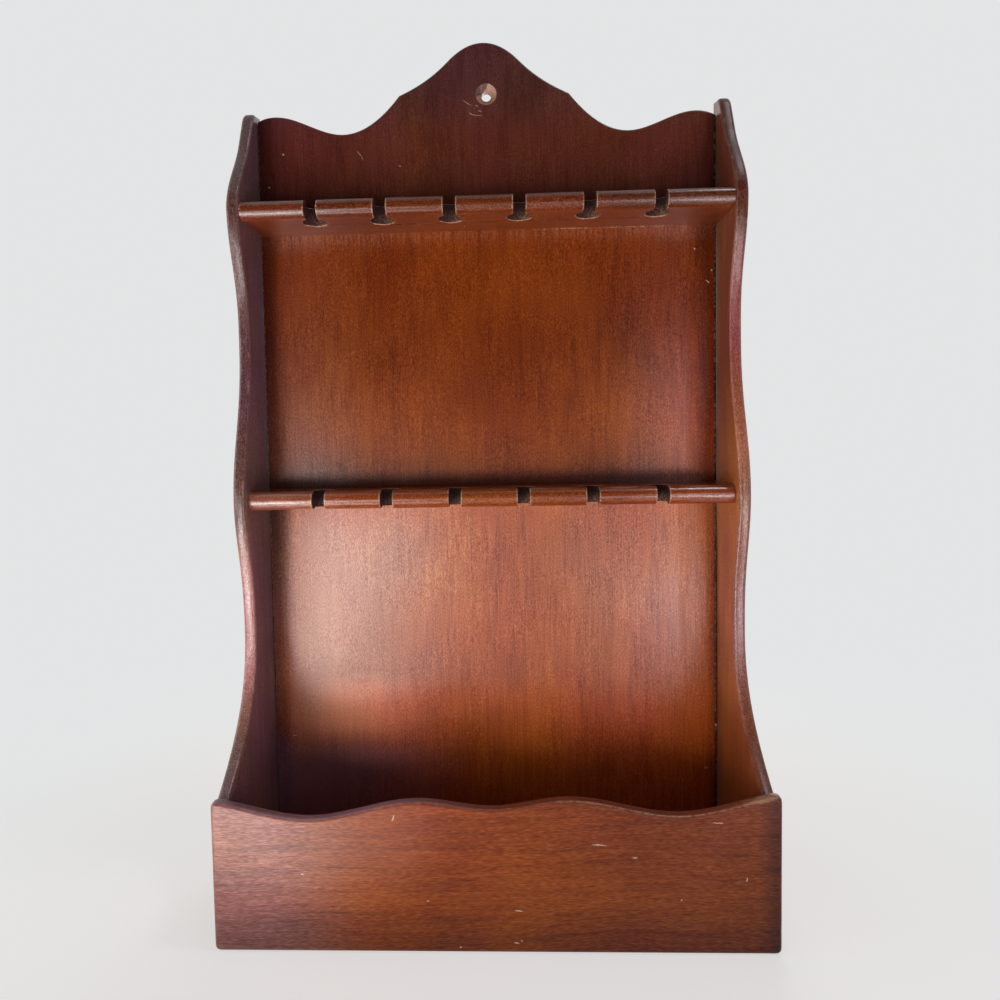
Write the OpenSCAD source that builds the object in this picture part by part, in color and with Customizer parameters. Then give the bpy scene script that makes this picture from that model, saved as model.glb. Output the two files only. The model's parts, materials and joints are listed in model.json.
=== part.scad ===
// Wall rack for souvenir spoons in stained wood: a scalloped back panel between
// two contoured sides, two rails with keyhole notches and an open box at the foot.
// X runs across the rack, Y from the front to the wall, Z up from the foot.

/* [Boards] */
// Width over the outer faces of the sides
rack_w = 270; // [240:1:320]
// Depth from the face of the box front to the wall
rack_d = 91.5; // [80:0.5:120]
// Thickness of each side
side_t = 6.5; // [5:0.1:9]
// Thickness of the back panel
back_t = 6.5; // [5:0.1:9]
// Thickness of the box front
front_t = 6.5; // [5:0.1:9]
// Thickness of the box floor
floor_t = 6.5; // [5:0.1:9]

/* [Rails] */
// Height of the lower rail's underside above the foot
lower_rail_z = 208.2; // [190:0.2:230]
// Distance from the lower rail up to the upper one
rail_spacing = 153.4; // [130:0.2:180]
// Depth of a rail from the panel to its nose
rail_d = 35.2; // [30:0.2:42]
// Thickness of a rail and diameter of its half-round nose
rail_t = 9.8; // [8:0.2:12]
// Notches in each rail
notch_count = 6; // [2:2:6]
// Distance between neighbouring notches
notch_pitch = 36.5; // [26:0.1:38]
// Width of the slot that a spoon's stem passes through
slot_w = 6.4; // [4.5:0.1:9]
// Diameter of the eye that the stem hangs in
eye_d = 12.7; // [10:0.1:15]
// Distance of the eye's centre behind the nose
eye_back = 12.5; // [9:0.1:16]

/* [Side profile] */
// How far a side stands in front of the upper rail's nose
upper_lap = 1; // [0.5:0.1:6]
// How far a side stands in front of the lower rail's nose
lower_lap = 5.3; // [0.5:0.1:10]
// Depth of the waist between the rails, in front of the panel
upper_waist_d = 23.8; // [16:0.1:30]
// Depth of the waist under the lower rail, in front of the panel
lower_waist_d = 30.5; // [20:0.1:35]
// Distance of the upper waist below the middle of the upper rail
upper_waist_drop = 63.5; // [45:0.5:85]
// Distance of the lower waist below the middle of the lower rail
lower_waist_drop = 69; // [50:0.5:85]
// Sharpness of the bulges at the rails against the waists
swell_power = 1.4; // [1:0.05:2]
// Height at which the flare meets the back of the box front
flare_foot_z = 69.3; // [60:0.1:72]
// Quickness of the flare from the lower waist to the box front
flare_power = 2.4; // [1.6:0.1:3]
// Height of the neck above the middle of the upper rail
neck_rise = 41.5; // [35:0.5:50]
// Depth of the neck in front of the panel
neck_d = 13.7; // [10:0.1:18]
// Lean of the edge at the neck, in depth for each unit of height
neck_lean = 0.45; // [0.2:0.01:0.6]
// Height of a side's top above the middle of the upper rail
side_rise = 63; // [58:0.5:80]
// Size of the rounded corner at a side's top
top_round = 6; // [3:0.5:7]

/* [Crest] */
// Height of the crest's peak above the tops of the sides
crest_rise = 35.1; // [25:0.1:50]
// Distance of the shoulder from the middle
shoulder_x = 20; // [15:0.5:26]
// Distance of the shoulder below the peak
shoulder_drop = 9.9; // [7:0.1:13]
// Slope of the crest at the shoulder
shoulder_slope = 1; // [0.7:0.05:1.3]
// Distance of the cusp from the middle
cusp_x = 47.5; // [40:0.5:55]
// Distance of the cusp below the peak
cusp_drop = 28.2; // [22:0.1:34]
// Slope of the crest on the cusp's inner side
cusp_slope_in = 0.45; // [0.2:0.05:0.8]
// Slope of the crest on the cusp's outer side
cusp_slope_out = 1.25; // [0.9:0.05:1.6]
// Distance of the dip from the panel's end
dip_inset = 48.2; // [40:0.2:56]
// Distance of the dip below the peak
dip_drop = 48.8; // [40:0.1:56]
// Distance of the end lobe's top from the panel's end
lobe_inset = 11; // [7:0.2:18]
// Distance of the end lobe's top below the peak
lobe_drop = 38.6; // [34:0.1:44]
// Distance that the lobe falls to the panel's end
lobe_fall = 2.8; // [1:0.1:6]
// Slope of the lobe at the panel's end
lobe_slope = 0.6; // [0.2:0.05:1]
// Fall of the hand-sawn crest towards the right, in height for each unit of width
crest_fall = 0.017; // [0:0.001:0.03]

/* [Box front] */
// Height of the box front in its middle
middle_z = 69.7; // [62:0.1:80]
// Height of the two humps beside the middle
hump_z = 73.8; // [64:0.1:84]
// Distance of each hump from the middle
hump_x = 36; // [28:0.5:48]
// Height of the two dips outside the humps
wave_dip_z = 65.9; // [55:0.1:72]
// Distance of each dip from the board's end
wave_dip_inset = 47.5; // [38:0.5:56]
// Height of the board's ends
end_z = 74.5; // [72:0.1:86]
// Slope of the top edge at the board's ends
end_slope = 0.2; // [0:0.02:0.4]
// Rise of the hand-sawn wave towards the right, in height for each unit of width
wave_rise = 0.01; // [0:0.001:0.03]
// Size of the board's rounded corners
corner_r = 3; // [3:0.1:5]

/* [Edges] */
// Radius that is routed along the exposed edges
edge_r = 2; // [0.8:0.1:2.4]
// Radius of the crest's edge
crest_r = 1.2; // [0.6:0.1:2.2]
// Radius of the eased edges that meet other boards
arris_r = 0.3; // [0.1:0.05:0.6]

/* [Joints] */
// Gap between the panel's ends and the sides
panel_gap = 0.3; // [0.05:0.05:0.8]
// Gap between a rail's ends and the sides
rail_gap = 0.15; // [0.05:0.05:0.5]
// Gap between the floor's ends and the sides
floor_gap = 0.15; // [0.05:0.05:0.5]

/* [Hanging hole] */
// Distance of the hole below the peak
hang_drop = 28.4; // [20:0.2:40]
// Distance of the hole to the right of the middle
hang_x = 1.4; // [-4:0.1:4]
// Diameter of the hole
hang_d = 5.5; // [4:0.1:7]
// Diameter of its countersink on the panel's face
sink_d = 11.6; // [9:0.1:13]

/* [Brads] */
// Diameter of a brad's shank
brad_d = 1.2; // [0.8:0.1:1.8]
// Length of a brad under its head
brad_l = 20; // [14:0.5:24]
// Diameter of a brad's head
brad_head_d = 2.2; // [2:0.1:3]
// Thickness of a brad's head
brad_head_t = 0.7; // [0.4:0.1:1.2]
// Depth that a head is punched below the wood
brad_set = 0.5; // [0.2:0.1:1]
// Gap between a brad and its hole
brad_gap = 0.05; // [0.02:0.01:0.15]
// Brads from each side into the panel
panel_brads = 4; // [2:1:6]
// Distance of the end brads from a side's foot and top
brad_margin = 30; // [20:1:45]
// Distance between the two brads from each side into the floor
floor_brad_pitch = 44; // [24:1:56]

/* [Hidden] */

// Points along each stretch of an outline
stretch_steps = 12;
// Steps round a routed quarter, round a corner and round a drilled hole
edge_steps = 3;
corner_steps = 4;
hole_fn = 48;
// Distance that a cut runs past the face it opens
overcut = 1;

wall_y = rack_d / 2;
face_y = wall_y - back_t;
front_y = -rack_d / 2;
box_y = front_y + front_t;
inner_w = rack_w - 2 * side_t;
panel_half = inner_w / 2 - panel_gap;
upper_rail_z = lower_rail_z + rail_spacing;
lower_mid_z = lower_rail_z + rail_t / 2;
upper_mid_z = upper_rail_z + rail_t / 2;
side_top = upper_mid_z + side_rise;
peak_z = side_top + crest_rise;
hang_z = peak_z - hang_drop;
// A corner is kept wide enough for the edge that is routed round it
front_round = max(corner_r, 1.5 * edge_r);
stain = "#7a3d1f";
steel = "#5a5652";

// Cubic stretch from p to q with the slopes sp and sq, without its last point
function cubic(p, q, sp, sq) =
  let (dx = q[0] - p[0])
  [for (i = [0 : stretch_steps - 1])
    let (t = i / stretch_steps, s = 1 - t)
    [p[0] + dx * t,
     s * s * (1 + 2 * t) * p[1] + s * s * t * dx * sp + t * t * (1 + 2 * s) * q[1] - t * t * s * dx * sq]];

// Stretch between a waist and a bulge, each given as height and depth, without its last point
function swell(p, q) =
  let (rising = q[1] > p[1], waist = min(p[1], q[1]), bulge = max(p[1], q[1]))
  [for (i = [0 : stretch_steps - 1])
    let (t = i / stretch_steps, s = rising ? t : 1 - t)
    [p[0] + (q[0] - p[0]) * t, waist + (bulge - waist) * pow((1 - cos(180 * s)) / 2, swell_power)]];

// Stretch that leaves p at right angles and quickens towards q, without its first point
function flare(p, q) =
  [for (i = [1 : stretch_steps])
    let (t = i / stretch_steps)
    [p[0] + (q[0] - p[0]) * t, p[1] + (q[1] - p[1]) * pow(t, flare_power)]];

// Rounded corner from p to q with its sharp point at c
function rounded(p, c, q) =
  [for (i = [0 : corner_steps])
    let (t = i / corner_steps, s = 1 - t)
    s * s * p + 2 * s * t * c + t * t * q];

function flipped(points) = [for (i = [len(points) - 1 : -1 : 0]) points[i]];
function mirrored(points) = [for (p = flipped(points)) [-p[0], p[1]]];

// Outline points with the edge radii on the board's lower and upper face
function edged(points, lower, upper) = [for (p = points) [p[0], p[1], lower, upper]];

function unit(v) = v / norm(v);
function inward(p, q) = let (e = unit([q[0] - p[0], q[1] - p[1]])) [-e[1], e[0]];
function mitre(outline, i) =
  let (
    n = len(outline),
    a = inward(outline[(i + n - 1) % n], outline[i]),
    b = inward(outline[i], outline[(i + 1) % n])
  )
  (a + b) / (1 + a * b);

// Triangles that fill a loop of point numbers, found by cutting off one corner at a time
function turn(a, b, c) = (b[0] - a[0]) * (c[1] - b[1]) - (b[1] - a[1]) * (c[0] - b[0]);
function covers(a, b, c, p) = turn(a, b, p) >= 0 && turn(b, c, p) >= 0 && turn(c, a, p) >= 0;
function corner(loop, i) =
  let (n = len(loop))
  [loop[(i + n - 1) % n], loop[i], loop[(i + 1) % n]];
function is_free(points, c, loop) =
  let (a = points[c[0]], b = points[c[1]], d = points[c[2]])
  turn(a, b, d) > 0
  && len([for (k = loop) if (len(search(k, c)) == 0 && covers(a, b, d, points[k])) k]) == 0;
function free_corner(points, loop, i = 0) =
  i >= len(loop) - 1 || is_free(points, corner(loop, i), loop) ? i : free_corner(points, loop, i + 1);
function filled(points, loop) =
  len(loop) == 3 ? [loop] :
  let (cut = free_corner(points, loop), rest = [for (i = [0 : len(loop) - 1]) if (i != cut) loop[i]])
  concat([corner(loop, cut)], filled(points, rest));

// Board of thickness t whose outline runs anticlockwise, with a routed edge on both faces
module routed_board(outline, t) {
  n = len(outline);
  turns = [for (k = [0 : edge_steps]) 90 * k / edge_steps];
  inner = [for (i = [0 : n - 1]) mitre(outline, i)];
  lower = [for (a = turns, i = [0 : n - 1])
    let (p = outline[i], r = p[2], m = inner[i] * r * (1 - sin(a)))
    [p[0] + m[0], p[1] + m[1], r * (1 - cos(a))]];
  upper = [for (a = flipped(turns), i = [0 : n - 1])
    let (p = outline[i], r = p[3], m = inner[i] * r * (1 - sin(a)))
    [p[0] + m[0], p[1] + m[1], t - r * (1 - cos(a))]];
  points = concat(lower, upper);
  last = len(points) - n;
  faces = concat(
    filled(points, [for (i = [0 : n - 1]) i]),
    [for (start = [0 : n : last - 1], i = [0 : n - 1])
      let (j = (i + 1) % n, up = start + n)
      each [[start + i, up + i, up + j], [start + i, up + j, start + j]]],
    [for (face = filled(points, [for (i = [0 : n - 1]) last + i])) flipped(face)]
  );
  polyhedron(points, faces);
}

// Half of the crest from the middle to the panel's end
function crest_half() =
  let (
    peak = [0, peak_z],
    shoulder = [shoulder_x, peak_z - shoulder_drop],
    cusp = [cusp_x, peak_z - cusp_drop],
    dip = [panel_half - dip_inset, peak_z - dip_drop],
    lobe = [panel_half - lobe_inset, peak_z - lobe_drop],
    end = [panel_half, peak_z - lobe_drop - lobe_fall]
  )
  concat(
    cubic(peak, shoulder, 0, -shoulder_slope),
    cubic(shoulder, cusp, -shoulder_slope, -cusp_slope_in),
    cubic(cusp, dip, -cusp_slope_out, 0),
    cubic(dip, lobe, 0, 0),
    cubic(lobe, end, 0, -lobe_slope),
    [end]
  );

function panel_outline() =
  let (
    half = crest_half(),
    left = [for (i = [1 : len(half) - 1]) half[i]],
    crest = concat(flipped(half), flipped(mirrored(left)))
  )
  concat(
    edged([[-panel_half, 0], [panel_half, 0]], arris_r, arris_r),
    edged([for (p = crest) [p[0], p[1] - crest_fall * p[0]]], crest_r, crest_r)
  );

// Front edge of a side from the top down, as height and depth in front of the panel
function side_edge() =
  let (
    neck = [upper_mid_z + neck_rise, neck_d],
    upper_bulge = [upper_mid_z, rail_d + upper_lap],
    upper_waist = [upper_mid_z - upper_waist_drop, upper_waist_d],
    lower_bulge = [lower_mid_z, rail_d + lower_lap],
    lower_waist = [lower_mid_z - lower_waist_drop, lower_waist_d],
    foot = [flare_foot_z, face_y - box_y],
    tip = [side_top, neck_d - neck_lean * (side_top - neck[0])],
    tip_back = [side_top, tip[1] - top_round],
    tip_low = [side_top - top_round, tip[1] + neck_lean * top_round]
  )
  concat(
    rounded(tip_back, tip, tip_low),
    cubic(neck, upper_bulge, -neck_lean, 0),
    swell(upper_bulge, upper_waist),
    swell(upper_waist, lower_bulge),
    swell(lower_bulge, lower_waist),
    [lower_waist],
    flare(lower_waist, foot)
  );

function side_outline() =
  let (edge = [for (p = side_edge()) [face_y - p[1], p[0]]])
  concat(
    edged([[box_y, 0], [wall_y, 0], [wall_y, side_top]], arris_r, arris_r),
    edged(edge, edge_r, edge_r),
    edged([[box_y, flare_foot_z - 2 * edge_r]], arris_r, arris_r)
  );

// Half of the box front's top edge from the middle to the corner
function wave_half() =
  let (
    half = rack_w / 2,
    hump = [hump_x, hump_z],
    dip = [half - wave_dip_inset, wave_dip_z],
    end = [half - front_round, end_z]
  )
  concat(
    cubic([0, middle_z], hump, 0, 0),
    cubic(hump, dip, 0, 0),
    cubic(dip, end, 0, end_slope),
    rounded(end, [half, end_z], [half, end_z - front_round])
  );
function risen(points) = [for (p = points) [p[0], p[1] + wave_rise * p[0]]];

function front_outline() =
  let (
    half = rack_w / 2,
    wave = wave_half(),
    left = [for (i = [1 : len(wave) - 1]) wave[i]],
    foot = rounded([half - front_round, 0], [half, 0], [half, front_round])
  )
  concat(
    edged(mirrored(foot), arris_r, edge_r),
    edged(foot, arris_r, edge_r),
    edged(risen(flipped(wave)), edge_r, edge_r),
    edged(risen(flipped(mirrored(left))), edge_r, edge_r)
  );

// Places of the brads, with +Z pointing into the wood
module from_side(s, y, z) {
  translate([s * rack_w / 2, y, z]) rotate([0, -90 * s, 0]) children();
}
module from_wall(x, z) {
  translate([x, wall_y, z]) rotate([90, 0, 0]) children();
}
module at_panel_edge(s) {
  run = side_top - 2 * brad_margin;
  for (i = [0 : panel_brads - 1]) {
    from_side(s, wall_y - back_t / 2, brad_margin + run * i / (panel_brads - 1)) children();
  }
}
module at_rail_end(s, rail_z) {
  from_side(s, face_y - rail_d / 2, rail_z + rail_t / 2) children();
}
module at_floor_end(s) {
  for (side = [-1, 1]) {
    from_side(s, (face_y + box_y + side * floor_brad_pitch) / 2, floor_t / 2) children();
  }
}
module at_rail_back(rail_z) {
  for (i = [-2, 0, 2]) from_wall(i * notch_pitch, rail_z + rail_t / 2) children();
}
module at_floor_back() {
  for (i = [-2, 0, 2]) from_wall(i * notch_pitch, floor_t / 2) children();
}

// A brad lies with the wood's face at its origin
module brad() {
  translate([0, 0, brad_set]) cylinder(d = brad_head_d, h = brad_head_t, $fn = hole_fn);
  translate([0, 0, brad_set]) cylinder(d = brad_d, h = brad_head_t + brad_l, $fn = hole_fn);
}
module brad_hole() {
  seat = brad_set + brad_head_t;
  translate([0, 0, -overcut])
    cylinder(d = brad_head_d + 2 * brad_gap, h = overcut + seat, $fn = hole_fn);
  cylinder(d = brad_d + 2 * brad_gap, h = seat + brad_l + brad_gap, $fn = hole_fn);
}

// Hole for a screw or hook, countersunk on the face that shows
module hang_hole() {
  sink = (sink_d - hang_d) / 2;
  translate([hang_x, face_y, hang_z]) rotate([-90, 0, 0]) {
    translate([0, 0, -overcut]) cylinder(d = hang_d, h = back_t + 2 * overcut, $fn = hole_fn);
    cylinder(d1 = sink_d, d2 = hang_d, h = sink, $fn = hole_fn);
  }
}

// Strip with a half-round nose and a row of keyhole notches, its underside at rail_z
module rail(rail_z) {
  rail_l = inner_w - 2 * rail_gap;
  nose_r = rail_t / 2;
  nose_y = face_y - rail_d + nose_r;
  difference() {
    union() {
      translate([-rail_l / 2, nose_y, rail_z]) cube([rail_l, rail_d - nose_r, rail_t]);
      translate([-rail_l / 2, nose_y, rail_z + nose_r])
        rotate([0, 90, 0]) cylinder(r = nose_r, h = rail_l, $fn = hole_fn);
    }
    for (i = [0 : notch_count - 1]) {
      translate([(i - (notch_count - 1) / 2) * notch_pitch, face_y - rail_d, rail_z - overcut]) {
        translate([-slot_w / 2, -overcut, 0]) cube([slot_w, overcut + eye_back, rail_t + 2 * overcut]);
        translate([0, eye_back, 0]) cylinder(d = eye_d, h = rail_t + 2 * overcut, $fn = hole_fn);
      }
    }
    for (s = [-1, 1]) at_rail_end(s, rail_z) brad_hole();
    at_rail_back(rail_z) brad_hole();
  }
}

// Contoured side, on the left for s = -1 and on the right for s = 1
module side(s) {
  difference() {
    translate([s * (rack_w - side_t) / 2 - side_t / 2, 0, 0])
      rotate([90, 0, 90]) routed_board(side_outline(), side_t);
    at_panel_edge(s) brad_hole();
    at_floor_end(s) brad_hole();
    for (z = [lower_rail_z, upper_rail_z]) at_rail_end(s, z) brad_hole();
  }
}

module back_panel() {
  color(stain) difference() {
    translate([0, wall_y, 0]) rotate([90, 0, 0]) routed_board(panel_outline(), back_t);
    hang_hole();
    for (s = [-1, 1]) at_panel_edge(s) brad_hole();
    for (z = [lower_rail_z, upper_rail_z]) at_rail_back(z) brad_hole();
    at_floor_back() brad_hole();
  }
}

module left_side() { color(stain) side(-1); }
module right_side() { color(stain) side(1); }
module upper_rail() { color(stain) rail(upper_rail_z); }
module lower_rail() { color(stain) rail(lower_rail_z); }

module box_floor() {
  floor_l = inner_w - 2 * floor_gap;
  color(stain) difference() {
    translate([-floor_l / 2, box_y, 0]) cube([floor_l, face_y - box_y, floor_t]);
    for (s = [-1, 1]) at_floor_end(s) brad_hole();
    at_floor_back() brad_hole();
  }
}

module box_front() {
  color(stain) translate([0, box_y, 0]) rotate([90, 0, 0]) routed_board(front_outline(), front_t);
}

module side_to_panel_brads() { color(steel) for (s = [-1, 1]) at_panel_edge(s) brad(); }
module side_to_rail_brads() {
  color(steel) for (s = [-1, 1], z = [lower_rail_z, upper_rail_z]) at_rail_end(s, z) brad();
}
module side_to_floor_brads() { color(steel) for (s = [-1, 1]) at_floor_end(s) brad(); }
module panel_to_rail_brads() {
  color(steel) for (z = [lower_rail_z, upper_rail_z]) at_rail_back(z) brad();
}
module panel_to_floor_brads() { color(steel) at_floor_back() brad(); }

back_panel();
left_side();
right_side();
upper_rail();
lower_rail();
box_floor();
box_front();
side_to_panel_brads();
side_to_rail_brads();
side_to_floor_brads();
panel_to_rail_brads();
panel_to_floor_brads();
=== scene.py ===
import json
import math
import random

import bpy
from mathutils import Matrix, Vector


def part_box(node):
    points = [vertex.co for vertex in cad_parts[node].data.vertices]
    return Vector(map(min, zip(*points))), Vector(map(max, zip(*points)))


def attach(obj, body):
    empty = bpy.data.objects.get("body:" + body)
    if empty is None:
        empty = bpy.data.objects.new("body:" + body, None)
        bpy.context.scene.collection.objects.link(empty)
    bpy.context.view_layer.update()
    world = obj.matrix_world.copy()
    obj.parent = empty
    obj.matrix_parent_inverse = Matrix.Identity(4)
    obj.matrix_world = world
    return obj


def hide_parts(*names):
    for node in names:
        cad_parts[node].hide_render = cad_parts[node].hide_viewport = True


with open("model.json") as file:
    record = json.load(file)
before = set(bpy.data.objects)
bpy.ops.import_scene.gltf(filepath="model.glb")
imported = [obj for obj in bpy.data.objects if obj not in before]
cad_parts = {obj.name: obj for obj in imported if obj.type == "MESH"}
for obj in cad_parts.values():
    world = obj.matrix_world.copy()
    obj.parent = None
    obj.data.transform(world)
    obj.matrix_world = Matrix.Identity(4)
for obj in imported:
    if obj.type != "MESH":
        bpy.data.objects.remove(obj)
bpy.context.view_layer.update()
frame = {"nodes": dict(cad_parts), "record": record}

bl_info = {
    "name": "Wooden Spoon Rack",
    "version": (1, 0, 0),
    "blender": (4, 5, 0),
    "location": "3D View > Sidebar > Spoon Rack",
    "description": "Stained and lacquered looks for a wall rack that holds souvenir spoons",
    "category": "Add Mesh",
}

# Places taken from the frame
PANEL_LOW, PANEL_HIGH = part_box("back_panel")
FRONT_LOW, FRONT_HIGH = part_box("box_front")
UPPER_LOW, UPPER_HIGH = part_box("upper_rail")
LOWER_LOW, LOWER_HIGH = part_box("lower_rail")
SIDE_LOW, SIDE_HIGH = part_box("right_side")
OPENINGS = {o["name"]: o["box_m"] for o in frame["record"]["physics"]["openings"]}
MOUNTS = {m["name"]: m for m in frame["record"]["mounts"]}
HANG_X, _, HANG_Z = MOUNTS["hang_hole"]["pos_m"]


def middle(name, axis):
    """Middle of a named opening along one axis."""
    low, high = OPENINGS[name]
    return (low[axis] + high[axis]) / 2


NOTCH_X = [middle(f"upper_slot_{i}", 0) for i in range(1, 7)]
NOTCH_PITCH = NOTCH_X[1] - NOTCH_X[0]
EYE_Y = middle("upper_eye_1", 1)
RAIL_SPACING = UPPER_LOW.z - LOWER_LOW.z

# The grain of a board is drawn out along one of the axes
ALONG_X = 0
ALONG_Z = 2

# The thickness of a board runs through it along one of the axes
THROUGH_X = 0
THROUGH_Y = 1
THROUGH_Z = 2

MM = 0.001

# Nicks in the lacquer: x, z, length and width in mm, then the turn in degrees
PANEL_NICKS = (
    (-70.5, 406.0, 5.0, 0.9, 52), (-69.0, 403.5, 3.0, 0.7, 60), (-47.7, 398.5, 1.6, 0.9, 30),
    (-15.6, 73.3, 2.0, 0.8, 20), (61.5, 119.5, 7.0, 0.6, 62), (63.5, 116.0, 8.0, 0.5, 58),
    (60.6, 117.0, 4.0, 0.5, 70), (-3.8, 430.0, 2.2, 0.6, 20), (-2.2, 427.2, 2.6, 0.6, 10),
    (-9.3, 431.8, 6.5, 0.5, 30), (-3.3, 425.0, 7.0, 0.5, 8), (-7.0, 425.6, 3.5, 0.5, 35),
)
PANEL_SPOTS = (
    (127.6, 77.4, 1.6, 2.4, 0), (121.6, 52.4, 2.6, 1.6, 20), (-113.8, 407.0, 1.3, 1.3, 0),
    (-122.4, 388.9, 1.8, 1.0, 30), (116.2, 348.1, 1.2, 1.6, 0), (125.6, 336.2, 1.6, 1.0, 60),
    (123.2, 330.1, 3.2, 0.9, 40), (-117.7, 72.2, 3.8, 0.8, 5),
)
FRONT_NICKS = (
    (-91.3, 38.7, 1.6, 1.2, 0), (49.8, 53.1, 8.5, 0.9, 3), (66.5, 46.9, 3.6, 0.8, 2),
    (118.3, 36.5, 0.9, 2.6, 8), (11.8, 21.0, 4.5, 1.0, 4), (10.6, 5.3, 3.4, 0.9, 15),
    (13.0, 6.2, 1.5, 0.8, 60), (105.0, 63.7, 6.5, 0.8, 2), (-47.0, 66.0, 1.0, 4.0, 20),
    (-31.3, 25.7, 1.3, 1.0, 0), (-16.1, 3.0, 1.4, 1.0, 0), (88.0, 26.5, 1.2, 0.9, 0),
)


class SpoonRackShape(bpy.types.PropertyGroup):
    """Sizes of what is shaped on top of the boards."""

    merge: bpy.props.FloatProperty(
        name="Merge", description="Distance within which loose corners become one",
        default=0.002 * MM, unit="LENGTH", precision=6)
    arris: bpy.props.FloatProperty(
        name="Arris", description="Width of the eased arrises round the notches",
        default=0.45 * MM, unit="LENGTH", precision=5)
    tear: bpy.props.FloatProperty(
        name="Tear", description="Depth of the torn fibres round the eyes",
        default=0.25 * MM, unit="LENGTH", precision=5)
    smooth_angle: bpy.props.FloatProperty(
        name="Smooth angle", description="Facets that meet flatter than this are shaded as one curve",
        default=math.radians(36), subtype="ANGLE")
    slot_width: bpy.props.FloatProperty(
        name="Slot width", description="Width of the slots in the rails",
        default=6.4 * MM, unit="LENGTH", precision=5)
    eye_diameter: bpy.props.FloatProperty(
        name="Eye diameter", description="Diameter of the eyes in the rails",
        default=12.7 * MM, unit="LENGTH", precision=5)
    sink_diameter: bpy.props.FloatProperty(
        name="Countersink diameter", description="Diameter of the hanging hole's countersink",
        default=11.6 * MM, unit="LENGTH", precision=5)


def colour_property(name, description, default):
    """A colour of the add-on's settings."""
    return bpy.props.FloatVectorProperty(
        name=name, description=description, default=default, subtype="COLOR", size=3, min=0, max=1)


class SpoonRackFinish(bpy.types.PropertyGroup):
    """Colours of the stain, of its wear and of the steel, as linear values."""

    # The lower panel's lighter colour and the crest's darker colour are partly toner and partly painted
    # light: the low bay lit from below, the crest in shade
    lower_panel: colour_property(
        "Lower panel", "Stain on the panel under the lower rail", (0.65, 0.168, 0.031))
    middle_panel: colour_property(
        "Middle panel", "Stain on the panel between the rails", (0.285, 0.058, 0.005))
    crest: colour_property("Crest", "Stain on the panel over the upper rail", (0.190, 0.050, 0.027))
    # The left side's purple, bluer colour is a painted reflection on its inner face
    left_side: colour_property("Left side", "Stain on the left side", (0.285, 0.165, 0.190))
    # The right side's colour is its lit middle, painted light; its top and foot are darkened as painted
    # shade
    right_side: colour_property("Right side", "Stain on the right side", (0.680, 0.250, 0.110))
    outer_side: colour_property(
        "Outer sides", "Stain on the outer faces of the sides", (0.420, 0.115, 0.036))
    panel_back: colour_property("Panel back", "Stain on the back of the panel", (0.420, 0.130, 0.045))
    upper_rail: colour_property("Upper rail", "Stain on the upper rail", (0.200, 0.045, 0.013))
    lower_rail: colour_property("Lower rail", "Stain on the lower rail", (0.340, 0.078, 0.018))
    front: colour_property("Box front", "Stain on the box front", (0.375, 0.088, 0.013))
    box: colour_property("Box floor", "Stain on the box floor", (0.20, 0.040, 0.012))
    shade: colour_property("Shade", "Dark wood on the walls of the notches", (0.030, 0.010, 0.008))
    worn: colour_property("Worn arris", "Wood where the stain is rubbed thin", (0.480, 0.270, 0.160))
    raw: colour_property("Raw wood", "Wood that shows through on the panel's back", (0.520, 0.330, 0.210))
    speck: colour_property("Specks", "Specks of pale paint and dust", (0.700, 0.560, 0.440))
    steel: colour_property("Brad steel", "Dull steel of the brads", (0.200, 0.190, 0.180))
    gloss: bpy.props.FloatProperty(
        name="Gloss", description="Weight of the clear lacquer where it is whole",
        default=1.0, subtype="FACTOR", min=0, max=1)
    dull: bpy.props.FloatProperty(
        name="Dull", description="Weight of the clear lacquer where it is rubbed dull",
        default=0.16, subtype="FACTOR", min=0, max=1)


class SpoonRackStage(bpy.types.PropertyGroup):
    """Floor, lights and camera."""

    floor: colour_property("Floor", "Colour of the floor as it lights the rack", (0.780, 0.775, 0.765))
    near_floor: colour_property(
        "Near floor", "Colour of the floor round the rack, where its shadow falls", (0.56, 0.555, 0.55))
    near_glow: colour_property(
        "Near glow", "Light that the floor gives of itself round the rack", (0.53, 0.53, 0.525))
    backdrop: colour_property("Backdrop", "Colour behind the rack", (0.770, 0.780, 0.785))
    ambient: bpy.props.FloatProperty(
        name="Ambient", description="Strength of the light from all round", default=0.25, min=0)
    lamps: bpy.props.FloatProperty(
        name="Lamps", description="Factor on the power of all lamps", default=1.0, min=0)
    eye: bpy.props.FloatVectorProperty(
        name="Camera", description="Place of the camera", default=(0.00907, -0.3901, 0.2433),
        subtype="TRANSLATION", unit="LENGTH", precision=5)
    aim: bpy.props.FloatVectorProperty(
        name="Camera turn", description="Turn of the camera", subtype="EULER",
        default=(math.radians(86.968), math.radians(1.0513), math.radians(2.0780)))
    lens: bpy.props.FloatProperty(
        name="Lens", description="Focal length of the camera", default=27.036, unit="CAMERA")
    shift: bpy.props.FloatVectorProperty(
        name="Shift", description="Shift of the camera's frame", size=2, default=(0.02176, -0.01918))


def shape():
    """Sizes of what is shaped, as the scene holds them."""
    return bpy.context.scene.spoon_rack_shape


def finish():
    """Colours and lacquer, as the scene holds them."""
    return bpy.context.scene.spoon_rack_finish


# A fade is an axis, the places where a share starts and where it is full, and the full share if it isn't 1
LOW_BAY = ("z", LOWER_HIGH.z, LOWER_LOW.z)
OVER_LOWER_RAIL = ("z", LOWER_LOW.z, LOWER_HIGH.z)
UNDER_UPPER_RAIL = ("z", UPPER_HIGH.z, UPPER_LOW.z)
CREST = ("z", UPPER_LOW.z, UPPER_HIGH.z)
ON_LOWER_RAIL = ("z", UPPER_LOW.z, LOWER_HIGH.z)
ON_UPPER_RAIL = ("z", LOWER_HIGH.z, UPPER_LOW.z)
LEFT_HALF = ("x", 0.01, -0.01)
RIGHT_HALF = ("x", -0.01, 0.01)
OVER_FOOT = ("z", 0.064, 0.080)
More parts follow.
